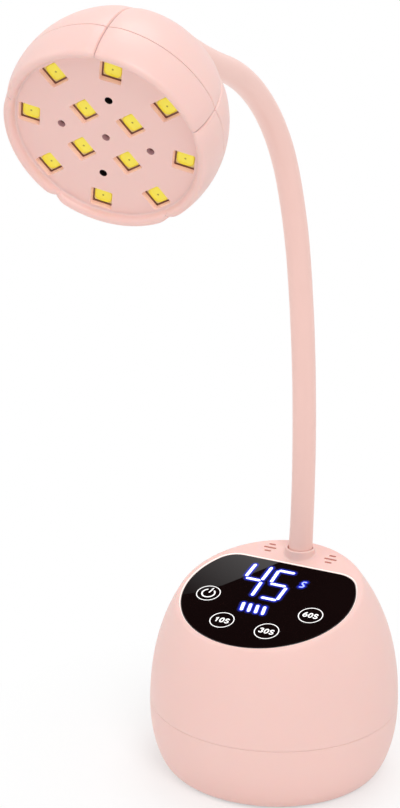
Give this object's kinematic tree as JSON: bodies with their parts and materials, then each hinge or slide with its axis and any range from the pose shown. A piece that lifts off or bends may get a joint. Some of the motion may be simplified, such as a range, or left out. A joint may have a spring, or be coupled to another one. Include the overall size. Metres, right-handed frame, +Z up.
{
  "type": "gooseneck uv nail lamp",
  "caption": "Rechargeable nail lamp: egg-shaped weighted base with a slanted touch display, a bendable neck and a round head with a recessed plate of small lamps.",
  "frame": {"origin": "centre of the flat underside of the foot pad, on the table", "axes": "+Z up, -Y towards the user, the way the display and the head face, +X to the right of someone who faces the display from behind it"},
  "size_m": [0.09, 0.1895, 0.285],
  "materials": {
    "pink_shell": "satin moulded plastic",
    "lamp_plate_pink": "glossy moulded plastic",
    "neck_sleeve": "smooth silicone",
    "foot_rubber": "matt",
    "steel_plate": "plain",
    "screw_steel": "zinc plated",
    "socket_steel": "plated",
    "dark_plastic": "matt",
    "cell_wrap": "satin film over a metal can",
    "board_green": "solder mask",
    "board_white": "white solder mask",
    "window_black": "polished",
    "display_grey": "matt",
    "pad_foam": "matt",
    "brass_fitting": "machined",
    "lamp_yellow": "phosphor under clear resin"
  },
  "bodies": {
    "base": {"base_upper_shell": "pink_shell", "base_lower_cover": "pink_shell", "foot_pad": "foot_rubber", "counterweight": "steel_plate", "base_screw_right": "screw_steel", "base_screw_left": "screw_steel", "base_screw_front": "screw_steel", "battery_cradle": "dark_plastic", "battery_cell": "cell_wrap", "charge_board": "board_green", "usb_socket": "socket_steel", "display_window": "window_black", "control_board": "board_green", "digit_display": "display_grey", "touch_pad_power": "pad_foam", "touch_pad_10s": "pad_foam", "touch_pad_30s": "pad_foam", "touch_pad_60s": "pad_foam", "neck_ferrule_lower": "brass_fitting", "neck_nut_lower": "brass_fitting", "neck_section_00": "neck_sleeve"},
    "neck_01": {"neck_section_01": "neck_sleeve"},
    "neck_02": {"neck_section_02": "neck_sleeve"},
    "neck_03": {"neck_section_03": "neck_sleeve"},
    "neck_04": {"neck_section_04": "neck_sleeve"},
    "neck_05": {"neck_section_05": "neck_sleeve"},
    "neck_06": {"neck_section_06": "neck_sleeve"},
    "neck_07": {"neck_section_07": "neck_sleeve"},
    "neck_08": {"neck_section_08": "neck_sleeve"},
    "neck_09": {"neck_section_09": "neck_sleeve"},
    "neck_10": {"neck_section_10": "neck_sleeve"},
    "neck_11": {"neck_section_11": "neck_sleeve"},
    "head": {"neck_section_12": "neck_sleeve", "head_back_shell": "pink_shell", "head_front_ring": "pink_shell", "lamp_plate": "lamp_plate_pink", "led_board": "board_white", "led_outer_1": "lamp_yellow", "led_outer_2": "lamp_yellow", "led_outer_3": "lamp_yellow", "led_outer_4": "lamp_yellow", "led_outer_5": "lamp_yellow", "led_outer_6": "lamp_yellow", "led_outer_7": "lamp_yellow", "led_outer_8": "lamp_yellow", "led_inner_1": "lamp_yellow", "led_inner_2": "lamp_yellow", "led_inner_3": "lamp_yellow", "led_inner_4": "lamp_yellow", "plate_screw_lower": "screw_steel", "plate_screw_upper": "screw_steel", "neck_ferrule_upper": "brass_fitting", "neck_nut_upper": "brass_fitting"}
  },
  "joints": [
    {"name": "neck_bow_01", "type": "hinge", "parent": "base", "child": "neck_01", "pos_m": [0, 0.02049, 0.08543], "axis": [1, 0, 0], "range_deg": [-18, 14]},
    {"name": "neck_sway_02", "type": "hinge", "parent": "neck_01", "child": "neck_02", "pos_m": [0, 0.02082, 0.10645], "axis": [0, 0.9999, 0.0122], "range_deg": [-18, 18]},
    {"name": "neck_bow_03", "type": "hinge", "parent": "neck_02", "child": "neck_03", "pos_m": [0, 0.01999, 0.12746], "axis": [1, 0, 0], "range_deg": [-18, 14]},
    {"name": "neck_sway_04", "type": "hinge", "parent": "neck_03", "child": "neck_04", "pos_m": [0, 0.01803, 0.1484], "axis": [0, 0.9927, 0.1206], "range_deg": [-18, 18]},
    {"name": "neck_bow_05", "type": "hinge", "parent": "neck_04", "child": "neck_05", "pos_m": [0, 0.01493, 0.16919], "axis": [1, 0, 0], "range_deg": [-18, 14]},
    {"name": "neck_bow_06", "type": "hinge", "parent": "neck_05", "child": "neck_06", "pos_m": [0, 0.01061, 0.18976], "axis": [1, 0, 0], "range_deg": [-18, 14]},
    {"name": "neck_sway_07", "type": "hinge", "parent": "neck_06", "child": "neck_07", "pos_m": [0, 0.00402, 0.20972], "axis": [0, 0.9274, 0.3742], "range_deg": [-18, 18]},
    {"name": "neck_bow_08", "type": "hinge", "parent": "neck_07", "child": "neck_08", "pos_m": [0, -0.00568, 0.22832], "axis": [1, 0, 0], "range_deg": [-18, 14]},
    {"name": "neck_bow_09", "type": "hinge", "parent": "neck_08", "child": "neck_09", "pos_m": [0, -0.01987, 0.24375], "axis": [1, 0, 0], "range_deg": [-18, 14]},
    {"name": "neck_sway_10", "type": "hinge", "parent": "neck_09", "child": "neck_10", "pos_m": [0, -0.03763, 0.25489], "axis": [0, 0.4122, 0.9111], "range_deg": [-18, 18]},
    {"name": "neck_bow_11", "type": "hinge", "parent": "neck_10", "child": "neck_11", "pos_m": [0.00001, -0.05751, 0.2617], "axis": [1, 0.0021, -0.0007], "range_deg": [-18, 14]},
    {"name": "neck_bow_12", "type": "hinge", "parent": "neck_11", "child": "head", "pos_m": [0.00011, -0.07707, 0.26938], "axis": [1, 0.0086, -0.0036], "range_deg": [-18, 14]}
  ],
  "couplings": [
    {"joint": "neck_bow_03", "follows": "neck_bow_01", "ratio": 1},
    {"joint": "neck_sway_04", "follows": "neck_sway_02", "ratio": 1},
    {"joint": "neck_bow_05", "follows": "neck_bow_01", "ratio": 1},
    {"joint": "neck_bow_08", "follows": "neck_bow_06", "ratio": 1},
    {"joint": "neck_bow_09", "follows": "neck_bow_06", "ratio": 1},
    {"joint": "neck_sway_10", "follows": "neck_sway_07", "ratio": 1},
    {"joint": "neck_bow_11", "follows": "neck_bow_06", "ratio": 1},
    {"joint": "neck_bow_12", "follows": "neck_bow_06", "ratio": 1}
  ]
}
